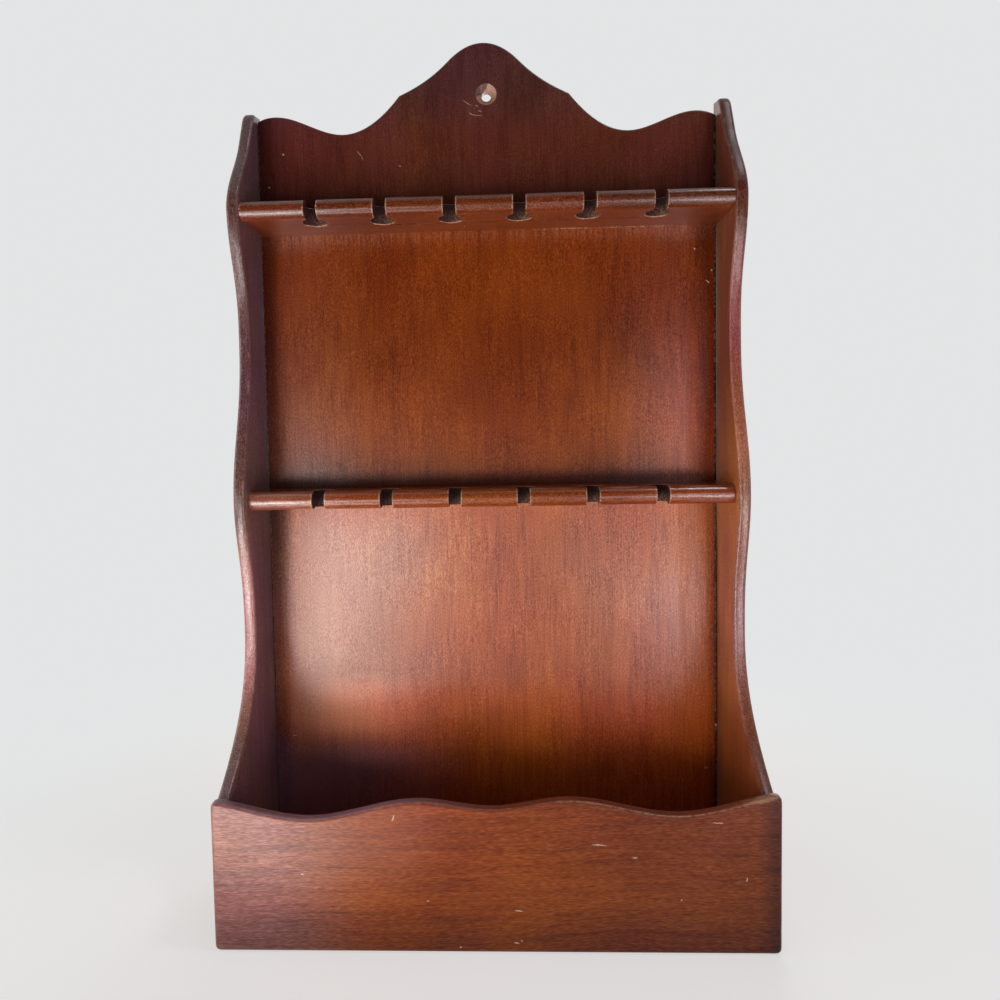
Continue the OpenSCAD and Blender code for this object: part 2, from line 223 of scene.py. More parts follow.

# Patches where the colour differs, by stain or by painted light as each row says: a tint, then the fades
# that bound the patch
PANEL_PATCHES = (
    # Lower right of the middle bay, lighter: a painted sheen
    ((1.40, 1.20, 1.10), ("x", 0.085, 0.110), ("z", UPPER_LOW.z, 0.29), OVER_LOWER_RAIL),
    # Left of the middle bay
    ((1.03, 1.18, 1.70), UNDER_UPPER_RAIL, OVER_LOWER_RAIL, ("x", -0.05, -0.10)),
    # Top of the crest, paler and bluer: a painted reflection
    ((0.74, 1.10, 1.80), ("z", 0.405, 0.445)),
    # Heart of the middle bay
    ((0.80, 0.68, 0.35), UNDER_UPPER_RAIL, OVER_LOWER_RAIL, ("wide", 0.07, 0.01),
     ("z", 0.335, 0.30), ("z", 0.225, 0.25)),
    # Upper part of the low bay
    ((0.90, 0.92, 0.93), LOW_BAY, ("z", 0.12, 0.17)),
    # Foot of the low bay, apart from its left, lighter: painted light where the box front shades it
    ((1.24, 1.14, 1.20), ("z", 0.115, 0.085), ("x", -0.10, -0.05)),
)
SIDE_PATCHES = (
    # Top and foot of the right side, darker than its lit middle: painted shade
    ((0.48, 0.42, 0.45), RIGHT_HALF, ("z", 0.20, 0.27)),
    ((0.66, 0.55, 0.46), RIGHT_HALF, ("z", 0.12, 0.08)),
    # Foot of the left side, paler and bluer: a painted reflection
    ((1.25, 1.30, 1.60), LEFT_HALF, ("z", 0.22, 0.15)),
)
EDGE_PATCHES = (
    # Whole edge of both sides
    ((0.55, 0.50, 0.58),),
    # Left edge, with a painted highlight on its waist
    ((1.05, 0.93, 0.70), LEFT_HALF),
    ((2.80, 3.00, 2.10), LEFT_HALF, ("z", 0.085, 0.115), ("z", 0.21, 0.17)),
    # Right edge, from its waist to its top: a painted sheen up its middle and painted shade at its top
    ((1.05, 1.30, 2.00), RIGHT_HALF, ("z", 0.08, 0.12), ("z", 0.27, 0.22)),
    ((2.30, 2.50, 3.60), RIGHT_HALF, ("z", 0.21, 0.25), ("z", 0.36, 0.32)),
    ((0.70, 0.66, 0.75), RIGHT_HALF, ("z", 0.34, 0.38)),
)
RAIL_PATCHES = (
    # Undersides, lighter: painted light from below
    ((1.35, 1.35, 1.35), ("rise", 0.4 * MM, 0.2 * MM)),
    # Left and right of the lower rail, paler and bluer: a painted sheen
    ((1.30, 2.05, 6.00), ON_LOWER_RAIL, ("x", -0.07, -0.11)),
    ((1.10, 1.10, 1.60), ON_LOWER_RAIL, ("x", 0.06, 0.11)),
    # Right of the upper rail, over its underside, bluer: a painted sheen
    ((0.78, 1.00, 1.90), ("x", 0.04, 0.10), ("z", UPPER_LOW.z, UPPER_LOW.z + 1.5 * MM)),
)
FRONT_PATCHES = (
    # Right half and right end, darker: painted shade; left end, paler and bluer: a painted sheen
    ((0.68, 0.66, 1.50), ("x", -0.05, 0.12)),
    ((0.45, 0.42, 0.80), ("x", FRONT_HIGH.x - 13 * MM, FRONT_HIGH.x - 2 * MM)),
    ((0.96, 1.36, 6.00), ("x", -0.06, -0.11)),
    # Foot
    ((0.75, 0.72, 0.75), ("z", 0.03, 0.0)),
)

# Tints, which multiply the stain, and colours that are laid over it
# Painted sheen: lightens the lower edge of the sheen on the left of the low bay
PAINTED_SHEEN_TINT = (1.70, 1.55, 1.40)
# Painted shade, partly toner: darkens the panel beside the sides and over the rails
TONER_AND_SHADE_TINT = (0.37, 0.29, 0.42)
# Painted shade on the low bay's left strip, turning into a lighter, bluer painted sheen towards its foot
LEFT_STRIP_SHADE_TINT = (0.36, 0.46, 0.95)
LEFT_STRIP_SHEEN_TINT = (1.15, 1.50, 4.20)
GAP_TINT = (0.34, 0.29, 0.32)
GRAIN_LINE_TINT = (0.58, 0.48, 0.48)
# Painted sheen: a rosy cover on the left of the low bay
ROSY_SHEEN_PAINT = (0.440, 0.200, 0.135)
BRUSHED_STAIN = (0.330, 0.115, 0.052)
# Painted reflection: a bluish veil over the shaded left foot of the panel
LEFT_FOOT_VEIL_PAINT = (0.36, 0.215, 0.300)
COUNTERSINK_WOOD = (0.400, 0.205, 0.140)
COUNTERSINK_DARK_PATCH = (0.055, 0.022, 0.024)
NOTCH_FUZZ = (0.075, 0.034, 0.028)
NOTCH_LIT = (0.120, 0.045, 0.028)
# Painted reflection: the top of the box front as it mirrors the dark panel
FRONT_TOP_LEFT_REFLECTION = (0.24, 0.150, 0.190)
FRONT_TOP_RIGHT_REFLECTION = (0.20, 0.060, 0.035)
RUST = (0.10, 0.055, 0.035)


# Shader nodes

class Graph:
    """A material's or the world's node tree, built a node at a time."""

    def __init__(self, owner):
        owner.use_nodes = True
        self.tree = owner.node_tree
        self.tree.nodes.clear()

    def add(self, kind, inputs=None, **settings):
        node = self.tree.nodes.new(kind)
        for key, value in settings.items():
            setattr(node, key, value)
        for key, value in (inputs or {}).items():
            self.feed(node.inputs[key], value)
        return node

    def feed(self, socket, value):
        """Links an output to a socket, or sets the socket's own value. Colours come without alpha."""
        if isinstance(value, bpy.types.NodeSocket):
            self.tree.links.new(value, socket)
        elif socket.type == "RGBA":
            socket.default_value = (*value, 1.0)
        else:
            socket.default_value = value

    def math(self, operation, *values):
        return self.add("ShaderNodeMath", dict(enumerate(values)), operation=operation).outputs[0]

    def fold(self, operation, values):
        """Joins values from first to last by one operation."""
        result = values[0]
        for value in values[1:]:
            result = self.math(operation, result, value)
        return result

    def total(self, *values):
        return self.fold("ADD", values)

    def most(self, *values):
        return self.fold("MAXIMUM", values)

    def least(self, *values):
        return self.fold("MINIMUM", values)

    def both(self, *values):
        return self.fold("MULTIPLY", values)

    def less(self, value, taken):
        return self.math("SUBTRACT", value, taken)

    def vector(self, operation, *values):
        return self.add("ShaderNodeVectorMath", dict(enumerate(values)), operation=operation).outputs[0]

    def scaled(self, vector, factor):
        node = self.add("ShaderNodeVectorMath", {0: vector, "Scale": factor}, operation="SCALE")
        return node.outputs[0]

    def length(self, vector):
        return self.add("ShaderNodeVectorMath", {0: vector}, operation="LENGTH").outputs["Value"]

    def split(self, vector):
        return self.add("ShaderNodeSeparateXYZ", {0: vector}).outputs

    def join(self, x, y, z):
        return self.add("ShaderNodeCombineXYZ", {0: x, 1: y, 2: z}).outputs[0]

    def stretch(self, vector, scale):
        return self.add("ShaderNodeMapping", {"Vector": vector, "Scale": scale}).outputs[0]

    def noise(self, vector, scale, detail=2.0, roughness=0.5):
        node = self.add("ShaderNodeTexNoise", {
            "Vector": vector, "Scale": scale, "Detail": detail, "Roughness": roughness})
        return node.outputs["Fac"]

    def swing(self, middle, *parts):
        """A middle value that noises swing about, each by its weight."""
        result = middle
        for value, weight in parts:
            result = self.math("MULTIPLY_ADD", self.less(value, 0.5), weight, result)
        return result

    def drift(self, vector, scale, reach):
        """A noise vector about zero."""
        colour = self.add("ShaderNodeTexNoise", {"Vector": vector, "Scale": scale}).outputs["Color"]
        return self.scaled(self.vector("SUBTRACT", colour, (0.5, 0.5, 0.5)), reach)

    def step(self, value, low, high, start=0.0, end=1.0):
        """Goes smoothly from start to end while a value goes from low to high."""
        node = self.add("ShaderNodeMapRange", {0: value, 1: low, 2: high, 3: start, 4: end},
                        interpolation_type="SMOOTHSTEP")
        return node.outputs[0]

    def blend(self, share, first, second):
        """Goes smoothly from one value to another with a share."""
        return self.step(share, 0.0, 1.0, first, second)

    def mix(self, share, first, second, mode="MIX"):
        """Mixes two colours, which are the sockets 6 and 7 of the node."""
        node = self.add("ShaderNodeMix", {0: share, 6: first, 7: second},
                        data_type="RGBA", blend_type=mode)
        return node.outputs[2]

    def ramp(self, value, *stops):
        node = self.add("ShaderNodeValToRGB", {0: value})
        elements = node.color_ramp.elements
        while len(elements) < len(stops):
            elements.new(1.0)
        for element, (position, colour) in zip(elements, stops):
            element.position = position
            element.color = (*colour, 1.0)
        return node.outputs[0]


class Wood:
    """Colour, roughness and height of one stained board, changed layer by layer."""

    def __init__(self, name, grain, wander, dash, climb=0.0, line=0.10, fine=1.0):
        self.material = bpy.data.materials.new(name)
        self.g = Graph(self.material)
        self.place = self.g.add("ShaderNodeTexCoord").outputs["Object"]
        self.x, self.y, self.z = self.g.split(self.place)[:3]
        self.wide = self.g.math("ABSOLUTE", self.x)
        self.axes = {"x": self.x, "y": self.y, "z": self.z, "wide": self.wide}
        self.grain = grain
        self.flow = self.wandering(wander, climb)
        self.stain(dash, line, fine)

    def wandering(self, wander, climb):
        """Object coordinates that sway sideways and climb along the board, as grain does."""
        g = self.g
        flow = g.vector("ADD", self.place, g.drift(self.place, scale=8.0, reach=wander))
        if climb:
            flow = g.vector("ADD", flow, g.join(0.0, 0.0, self.fade("x", -0.06, 0.08, -climb)))
        return flow

    def drawn_out(self, share):
        """The grain's coordinates, which draw a pattern out along the board as they shrink to a share."""
        scale = [1.0, 1.0, 1.0]
        scale[self.grain] = share
        return self.g.stretch(self.flow, scale)

    def stain(self, dash, line, fine):
        """Pores and fibres, drawn out by the shares dash and line, with streaks and clouds in the stain."""
        g = self.g
        pores = g.noise(self.drawn_out(dash), scale=2300.0, detail=1.0)
        fibre = g.noise(self.drawn_out(line), scale=1250.0, detail=1.0)
        streak = g.noise(self.drawn_out(0.04), scale=210.0, detail=3.0, roughness=0.6)
        mottle = g.noise(self.drawn_out(0.12), scale=200.0)
        cloud = g.noise(self.drawn_out(0.6), scale=24.0, detail=3.0, roughness=0.55)
        peel = g.noise(self.place, scale=900.0, detail=1.0)
        hue = g.noise(self.drawn_out(0.7), scale=16.0)
        tone = g.swing(0.5, (fibre, 0.8), (streak, 0.50), (mottle, 0.50), (cloud, 1.2))
        self.colour = g.ramp(
            tone, (0.0, (0.42, 0.30, 0.28)), (0.5, (0.74, 0.64, 0.60)), (1.0, (1.0, 1.0, 1.0)))
        self.tint(g.ramp(
            hue, (0.32, (0.88, 0.74, 1.0)), (0.5, (0.92, 0.88, 0.80)), (0.68, (1.0, 1.0, 0.60))))
        self.colour = g.scaled(self.colour, g.swing(0.9, (pores, 0.4 * fine)))
        self.veil = g.swing(1.0, (pores, -1.15 * fine))
        self.sparkle = g.swing(0.75, (pores, 1.9 * fine), (fibre, 0.7))
        self.rough = g.swing(0.34, (cloud, 0.08), (fibre, 0.08))
        self.height = g.swing(0.0, (fibre, 0.010), (peel, 0.012), (pores, 0.016))

    def fade(self, axis, start, end, most=1.0):
        """A share along an axis, nothing at start and most at end."""
        return self.g.step(self.axes[axis], start, end, 0.0, most)

    def within(self, *parts):
        """The product of shares and of fades, which are tuples."""
        return self.g.both(*(self.fade(*part) if isinstance(part, tuple) else part for part in parts))

    def flecks(self, scale, low, high, most=1.0, along=None):
        """Ragged flecks, drawn out along the grain if along is given."""
        g = self.g
        vector = self.drawn_out(along) if along else self.place
        return g.step(g.noise(vector, scale, detail=3.0, roughness=0.6), low, high, 0.0, most)

    def tint(self, colour, share=1.0):
        """Multiplies a share of the surface by a colour."""
        self.colour = self.g.mix(share, self.colour, colour, "MULTIPLY")

    def patches(self, rows, *share):
        """Tints the patches of a table, within a share if one is given."""
        for colour, *fades in rows:
            self.tint(colour, self.within(*share, *fades))

    def cover(self, share, colour, rough=None):
        """Lays a colour over a share of the surface, and adds roughness there if it is given."""
        self.colour = self.g.mix(share, self.colour, colour)
        if rough is not None:
            self.roughen(share, rough)

    def roughen(self, share, rough):
        """Adds roughness to a share of the surface."""
        self.rough = self.g.total(self.rough, self.g.both(share, rough))

    def calm(self, share):
        """Leaves only a share of the pores' veil."""
        g = self.g
        self.veil = g.math("MULTIPLY_ADD", g.less(self.veil, 1.0), share, 1.0)

    def wear(self, share):
        """Rubs a share of the marked arrises through to paler wood."""
        g = self.g
        self.marked = g.add("ShaderNodeAttribute", attribute_name="wear").outputs["Fac"]
        rubbed = g.step(g.noise(self.place, scale=220.0, detail=4.0, roughness=0.6), 0.50, 0.68)
        self.cover(g.both(self.marked, rubbed, share), finish().worn)

    def nicks(self, places, depth_y, colour):
        """Lays small nicks on the face at depth_y."""
        g = self.g
        ragged = g.vector("ADD", self.place, g.drift(self.place, scale=900.0, reach=0.9 * MM))
        share = 0.0
        for x, z, length, width, turn in places:
            local = g.add("ShaderNodeMapping", {
                "Vector": ragged, "Location": (x * MM, depth_y, z * MM),
                "Rotation": (0, math.radians(turn), 0),
                "Scale": (length / 2 * MM, 3 * MM, width / 2 * MM)}, vector_type="TEXTURE")
            spot = g.add("ShaderNodeTexGradient", {"Vector": local.outputs[0]}, gradient_type="SPHERICAL")
            share = g.most(share, spot.outputs["Fac"])
        cut = g.step(share, 0.05, 0.45)
        self.cover(g.both(cut, 0.6), colour, rough=0.3)
        self.height = g.total(self.height, g.both(cut, -0.15))

    def specks(self, density):
        """Scatters tiny pale specks."""
        g = self.g
        cells = g.add("ShaderNodeTexVoronoi", {"Vector": self.place, "Scale": density})
        chance = g.split(cells.outputs["Color"])[0]
        size = g.step(chance, 0.72, 1.0, 0.0, 0.035)
        self.cover(g.math("LESS_THAN", cells.outputs["Distance"], size), finish().speck, rough=0.3)

    def done(self, gloss, haze=0.27):
        """The material under a clear coat of a given weight and roughness."""
        g = self.g
        gloss = g.both(gloss, self.sparkle)
        colour = g.add("ShaderNodeGamma", {"Color": self.colour, "Gamma": self.veil}).outputs[0]
        bump = g.add("ShaderNodeBump", {"Height": self.height, "Strength": 1.0, "Distance": MM})
        normal = bump.outputs[0]
        surface = g.add("ShaderNodeBsdfPrincipled", {
            "Base Color": colour, "Roughness": self.rough, "Normal": normal,
            "Specular IOR Level": 0.2, "Coat Weight": gloss,
            "Coat Roughness": haze, "Coat IOR": 1.6, "Coat Normal": normal})
        g.add("ShaderNodeOutputMaterial", {"Surface": surface.outputs[0]})
        return self.material


class PanelWood(Wood):
    """The back panel's finish, part by part."""

    def __init__(self):
        super().__init__("stained_panel", ALONG_Z, wander=4 * MM, dash=0.40, line=0.04)
        self.colours = finish()
        self.low = self.fade(*LOW_BAY)
        self.high = self.fade(*CREST)
        self.back = self.fade("y", PANEL_HIGH.y - 1.2 * MM, PANEL_HIGH.y - 0.2 * MM)
        self.shown = self.g.less(1.0, self.back)

    def lay_stain(self):
        """Stains the crest, the two bays and the back, each in its colour. The low bay's lighter colour and
        the crest's darker colour are partly toner and partly painted light. The rosy cover and the paler
        band on the left of the low bay are painted sheen.
        """
        g = self.g
        # Painted light: the low bay's lighter colour reaches half way into the foot of the middle bay
        painted_low_light = self.fade("z", 0.30, LOWER_HIGH.z, 0.50)
        zone = g.mix(g.most(self.low, painted_low_light), self.colours.middle_panel, self.colours.lower_panel)
        zone = g.mix(self.high, zone, self.colours.crest)
        self.calm(g.blend(self.high, 0.648, 0.352))
        self.tint(g.mix(self.back, zone, self.colours.panel_back))
        self.patches(PANEL_PATCHES, self.shown)
        # Painted sheen: a rosy cover over the left of the low bay
        rosy = self.within(self.shown, OVER_FOOT, ("z", 0.215, 0.185),
                           ("x", -0.02, -0.09, 0.5), ("x", -0.122, -0.108))
        self.cover(rosy, ROSY_SHEEN_PAINT)
        # Painted sheen: a paler band at the sheen's lower edge
        painted_sheen_edge = self.within(self.shown, OVER_FOOT, ("z", 0.112, 0.096),
                            ("x", -0.03, -0.08), ("x", -0.115, -0.085))
        self.tint(PAINTED_SHEEN_TINT, painted_sheen_edge)
        brushed = self.within(self.shown, UNDER_UPPER_RAIL,
                              ("z", UPPER_LOW.z - 10 * MM, UPPER_LOW.z - 2 * MM),
                              self.flecks(scale=700.0, low=0.40, high=0.66, most=0.34, along=0.12))
        self.cover(brushed, BRUSHED_STAIN)

    def lay_toner_and_shade(self):
        """Darkens the panel beside the sides and over the rails, partly toner and partly painted shade,
        lays painted shade, sheen and reflection on the low bay's left strip and foot, darkens the right
        seam, and gives the share of the darkening, the left strip and the seam.
        """
        g = self.g
        # Painted shade, partly toner: darker beside the sides, by the right seam and over both rails; the
        # band over the lower rail is a painted shadow
        beside = g.most(self.fade("x", PANEL_LOW.x + 14 * MM, PANEL_LOW.x + 2 * MM, 0.92),
                        self.fade("x", PANEL_HIGH.x - 9 * MM, PANEL_HIGH.x, 0.75))
        over_lower = self.within(OVER_LOWER_RAIL, ("z", LOWER_HIGH.z + 11 * MM, LOWER_HIGH.z + 2 * MM))
        over_upper = self.within(CREST, ("z", UPPER_HIGH.z + 14 * MM, UPPER_HIGH.z, 0.6))
        by_seam = self.within(UNDER_UPPER_RAIL, OVER_LOWER_RAIL,
                              ("x", PANEL_HIGH.x - 16 * MM, PANEL_HIGH.x - 5 * MM, 0.7))
        toner_and_shade = g.both(self.shown, g.most(beside, by_seam, over_lower, over_upper))
        self.tint(TONER_AND_SHADE_TINT, toner_and_shade)
        # Painted shade on the low bay's left strip, turning into a painted sheen towards its foot
        by_left = self.within(self.shown, LOW_BAY, ("x", PANEL_LOW.x + 17 * MM, PANEL_LOW.x + 4 * MM))
        self.tint(g.mix(self.fade("z", 0.22, 0.10), LEFT_STRIP_SHADE_TINT, LEFT_STRIP_SHEEN_TINT), by_left)
        gap = self.fade("x", PANEL_HIGH.x - 2.0 * MM, PANEL_HIGH.x - 1.0 * MM)
        self.tint(GAP_TINT, g.both(self.shown, gap))
        # Painted reflection: a bluish veil over the shaded left foot
        left_foot = self.within(self.shown, ("z", 0.08, 0.05), ("x", 0.0, -0.10, 0.6))
        self.cover(left_foot, LEFT_FOOT_VEIL_PAINT)
        return g.most(toner_and_shade, by_left, gap)

    def lacquer(self, toner_and_shade):
        """Weight of the clear coat, which is whole at the sides and in the low bay."""
        g = self.g
        whole = self.colours.gloss
        dull = self.colours.dull
        middle_bay = g.both(g.step(self.wide, 0.06, 0.11, dull, 0.9 * whole),
                            g.step(self.x, 0.110, 0.115, 1.0, 0.4))
        upper_right = self.within(("x", 0.04, 0.09), ("z", 0.15, 0.18))
        low_bay = g.both(g.step(self.x, 0.1055, 0.1085, whole, 0.6 * whole),
                         g.blend(upper_right, 1.0, 0.75),
                         g.step(self.x, -0.092, -0.116, 1.0, 0.5))
        gloss = g.blend(self.high, g.blend(self.low, middle_bay, low_bay), 0.5 * whole)
        gloss = g.both(gloss, g.blend(toner_and_shade, 1.0, 0.2))
        return g.blend(self.back, gloss, dull)

    def weather(self):
        """Rubs the stain on the back thin, and leaves dust in the seams and under the upper rail."""
        g = self.g
        self.cover(g.both(self.back, 0.15), self.colours.raw, rough=0.15)
        seam = g.most(self.fade("x", PANEL_LOW.x + 1.0 * MM, PANEL_LOW.x + 0.2 * MM),
                      self.fade("x", PANEL_HIGH.x - 1.8 * MM, PANEL_HIGH.x - 0.8 * MM, 0.5))
        under_rail = self.within(UNDER_UPPER_RAIL, ("z", UPPER_LOW.z - 0.9 * MM, UPPER_LOW.z - 0.2 * MM),
                                 ("x", 0.02, 0.04), ("x", 0.11, 0.09))
        dusty = self.flecks(scale=700.0, low=0.48, high=0.60, most=0.6)
        self.cover(g.both(self.shown, g.most(seam, under_rail), dusty), self.colours.worn, rough=0.3)

    def bare_countersink(self):
        """Bares the wood in the countersink, with a dark patch in its upper left."""
        g = self.g
        hang_x = g.less(self.x, HANG_X)
        hang_z = g.less(self.z, HANG_Z)
        radius = shape().sink_diameter / 2
        from_hole = g.length(g.join(hang_x, 0.0, hang_z))
        bare = g.both(self.shown, g.step(from_hole, radius + 0.2 * MM, radius - 0.2 * MM))
        self.cover(bare, COUNTERSINK_WOOD, rough=0.3)
        slant = g.math("MULTIPLY_ADD", g.noise(self.place, scale=500.0), 3 * MM, g.less(hang_z, hang_x))
        self.cover(g.both(bare, g.step(slant, 5 * MM, 6 * MM), 0.8), COUNTERSINK_DARK_PATCH)


def panel_finish():
    """Material of the back panel."""
    wood = PanelWood()
    wood.lay_stain()
    gloss = wood.lacquer(wood.lay_toner_and_shade())
    wood.weather()
    wood.bare_countersink()
    wood.wear(share=0.5)
    wood.nicks(PANEL_NICKS, PANEL_LOW.y, finish().worn)
    wood.nicks(PANEL_SPOTS, PANEL_LOW.y, finish().speck)
    wood.specks(density=70.0)
    return wood.done(gloss)


def side_finish():
    """Material of both sides, whose edges are darker than their faces. The inner faces and edges carry
    painted light: a reflection on the left side, light and shade on the right side, and highlights on the
    edges.
    """
    wood = Wood("stained_side", ALONG_Z, wander=4 * MM, dash=0.40, line=0.04)
    g = wood.g
    colours = finish()
    right = wood.fade(*RIGHT_HALF)
    outside = g.most(wood.fade("wide", SIDE_HIGH.x - 0.6 * MM, SIDE_HIGH.x - 0.1 * MM),
                     wood.fade("y", SIDE_HIGH.y - 0.8 * MM, SIDE_HIGH.y - 0.2 * MM))
    inside = g.less(1.0, outside)
    inner = g.mix(right, colours.left_side, colours.right_side)
    wood.tint(g.mix(outside, inner, colours.outer_side))
    wood.patches(SIDE_PATCHES, inside)
    edge = wood.within(inside, ("wide", SIDE_LOW.x, SIDE_LOW.x + 0.5 * MM))
    wood.patches(EDGE_PATCHES, edge)
    wood.wear(share=0.3)
    wood.specks(density=60.0)
    wood.roughen(outside, 0.25)
    whole = 0.7 * colours.gloss
    top = g.step(wood.z, 0.34, 0.38, whole, g.blend(right, 0.35, 0.06))
    foot = g.step(wood.z, 0.11, 0.08, 1.0, g.blend(right, 1.3, 0.42))
    gloss = g.blend(edge, whole, g.both(top, foot))
    return wood.done(g.blend(outside, gloss, 0.12 * colours.gloss), haze=0.22)


class RailWood(Wood):
    """The rails' finish. Across and behind are measured from the nearest eye, rise from the underside."""

    def __init__(self):
        super().__init__("stained_rail", ALONG_X, wander=3 * MM, dash=0.60)
        g = self.g
        along = g.less(self.x, NOTCH_X[0])
        index = g.math("ROUND", g.math("DIVIDE", along, NOTCH_PITCH))
        index = g.least(g.most(index, 0.0), len(NOTCH_X) - 1.0)
        across = g.less(along, g.both(index, NOTCH_PITCH))
        behind = g.less(self.y, EYE_Y)
        from_slot = g.less(g.math("ABSOLUTE", across), shape().slot_width / 2)
        self.from_eye = g.less(g.length(g.join(across, behind, 0.0)), shape().eye_diameter / 2)
        self.from_notch = g.least(self.from_eye, g.most(from_slot, behind))
        rise = g.math("WRAP", g.less(self.z, LOWER_LOW.z), RAIL_SPACING / 2, -RAIL_SPACING / 2)
        self.axes.update(across=across, behind=behind, rise=rise)
        self.dusty = self.flecks(scale=800.0, low=0.46, high=0.60, most=0.6)

    def wear_rims(self):
        """Shows paler wood on the rims of the notches, on torn fibres below and at the left ends."""
        g = self.g
        ragged = g.swing(0.0, (g.noise(self.place, scale=700.0, detail=3.0, roughness=0.6), 3.2 * MM))
        rim = g.step(g.total(self.from_notch, ragged), 0.9 * MM, 0.2 * MM, 0.0, 0.58)
        patchy = g.step(g.noise(self.place, scale=260.0, detail=3.0, roughness=0.6), 0.46, 0.60, 0.15, 1.0)
        rim = g.both(rim, g.most(patchy, self.fade("rise", 0.5 * MM, 1.2 * MM)))
        frayed = g.total(self.from_eye, g.both(ragged, 0.8))
        torn = self.within(g.step(frayed, 1.0 * MM, 0.6 * MM, 0.0, 0.8),
                           ("rise", 0.5 * MM, 0.2 * MM), ("behind", 2.5 * MM, 4.5 * MM))
        ends = self.within(self.dusty, ("x", UPPER_LOW.x + 1.4 * MM, UPPER_LOW.x + 0.4 * MM))
        self.cover(g.most(rim, torn, ends), finish().worn, rough=0.2)

    def line_notches(self):
        """Gives the notches' walls their fuzzy dark wood, and gives their share."""
        g = self.g
        fuzzy = g.step(g.noise(self.place, scale=1100.0, detail=3.0, roughness=0.7), 0.42, 0.66)
        fuzz = g.mix(self.within(fuzzy, ("rise", 8 * MM, 2 * MM)), finish().shade, NOTCH_FUZZ)
        lit = self.within(("across", -2 * MM, 5 * MM, 0.6), ("rise", 7 * MM, 1 * MM))
        fuzz = g.mix(lit, fuzz, g.mix(self.dusty, NOTCH_LIT, finish().worn))
        wall = g.step(self.from_notch, 0.10 * MM, 0.02 * MM)
        self.cover(wall, fuzz, rough=0.4)
        return wall

    def wear_crown(self):
        """Rubs the crown of the nose, more so at the right, where the paler crown is worn wood and a
        painted highlight.
        """
        g = self.g
        crown = self.within(("rise", 8.6 * MM, 9.5 * MM),
                            ("y", UPPER_LOW.y + 6 * MM, UPPER_LOW.y + 3.5 * MM),
                            self.flecks(scale=160.0, low=0.44, high=0.62, along=0.3))
        self.cover(g.both(crown, g.step(self.x, 0.0, 0.06, 0.40, 0.75)), finish().worn)


def rail_finish():
    """Material of both rails."""
    wood = RailWood()
    g = wood.g
    colours = finish()
    upper = wood.fade(*ON_UPPER_RAIL)
    wood.tint(g.mix(upper, colours.lower_rail, colours.upper_rail))
    # Painted light: lighter undersides and a paler, bluer sheen on the rails' ends
    wood.patches(RAIL_PATCHES)
    wood.wear_rims()
    wall = wood.line_notches()
    wood.wear_crown()
    wood.specks(density=90.0)
    gloss = g.both(g.step(wood.wide, 0.05, 0.11, 0.45 * colours.gloss, colours.gloss),
                   g.step(wood.z, LOWER_HIGH.z, UPPER_LOW.z, 1.2, 0.7))
    return wood.done(g.blend(wall, gloss, 0.0), haze=0.16)


def floor_finish():
    """Material of the box floor."""
    wood = Wood("stained_floor", ALONG_X, wander=5 * MM, dash=0.30)
    colours = finish()
    wood.tint(colours.box)
    return wood.done(wood.g.step(wood.wide, 0.06, 0.11, colours.dull, 0.5 * colours.gloss))


def front_finish():
    """Material of the box front."""
    wood = Wood("stained_front", ALONG_X, wander=10 * MM, dash=0.13, climb=8 * MM, line=0.02, fine=0.6)
    g = wood.g
    colours = finish()
    wood.tint(colours.front)
    # Painted light: the right half and end darker, the left end paler and bluer
    wood.patches(FRONT_PATCHES)
    # Painted reflection: the top of the box front is coloured as it mirrors the dark panel
    on_top = wood.within(("y", FRONT_LOW.y + 0.2 * MM, FRONT_LOW.y + 1.2 * MM, 0.8),
                         ("y", FRONT_HIGH.y - 0.3 * MM, FRONT_HIGH.y - 1.2 * MM),
                         ("wide", FRONT_HIGH.x - 0.3 * MM, FRONT_HIGH.x - 1.2 * MM), ("z", 0.02, 0.04))
    wood.cover(on_top, g.mix(wood.fade("x", -0.06, 0.02), FRONT_TOP_LEFT_REFLECTION, FRONT_TOP_RIGHT_REFLECTION))
    lines = wood.flecks(scale=340.0, low=0.54, high=0.70, along=0.02)
    wood.tint(GRAIN_LINE_TINT, g.both(lines, 0.7))
    wood.wear(share=0.3)
    wear_front_top(wood)
    wood.nicks(FRONT_NICKS, FRONT_LOW.y, colours.speck)
    wood.specks(density=60.0)
    gloss = g.step(wood.x, -0.045, -0.115, 0.6 * colours.dull, colours.gloss)
    ends = wood.fade("wide", FRONT_HIGH.x - 0.8 * MM, FRONT_HIGH.x - 0.1 * MM)
    return wood.done(g.blend(ends, gloss, 0.1 * colours.gloss), haze=0.45)


def wear_front_top(wood):
    """Rubs the right of the box front's top edge and its right corner; the pale line along the right of the
    top edge is both wear and a painted highlight.
    """
    g = wood.g
    worn = finish().worn
    # Worn wood and a painted highlight along the right of the top edge
    bright = wood.within(wood.marked, g.step(g.noise(wood.place, scale=500.0), 0.36, 0.56),
                         ("x", 0.01, 0.05, 0.7), ("y", FRONT_LOW.y + 1.3 * MM, FRONT_LOW.y + 0.7 * MM))
    wood.cover(bright, worn)
    corner_x = g.less(wood.x, FRONT_HIGH.x - 10 * MM)
    corner_y = g.less(wood.y, FRONT_LOW.y + 1.5 * MM)
    corner_z = g.less(g.less(wood.z, FRONT_HIGH.z - 1 * MM), g.both(corner_x, 0.2))
    from_corner = g.length(g.vector("MULTIPLY", g.join(corner_x, corner_y, corner_z), (0.28, 0.9, 2.0)))
    ragged = g.swing(from_corner, (g.noise(wood.place, scale=420.0, detail=3.0, roughness=0.6), 5 * MM))
    streaky = wood.flecks(scale=500.0, low=0.36, high=0.58, along=0.15)
    wood.cover(g.both(streaky, g.step(ragged, 4.6 * MM, 1.6 * MM, 0.0, 0.75)), worn, rough=0.2)


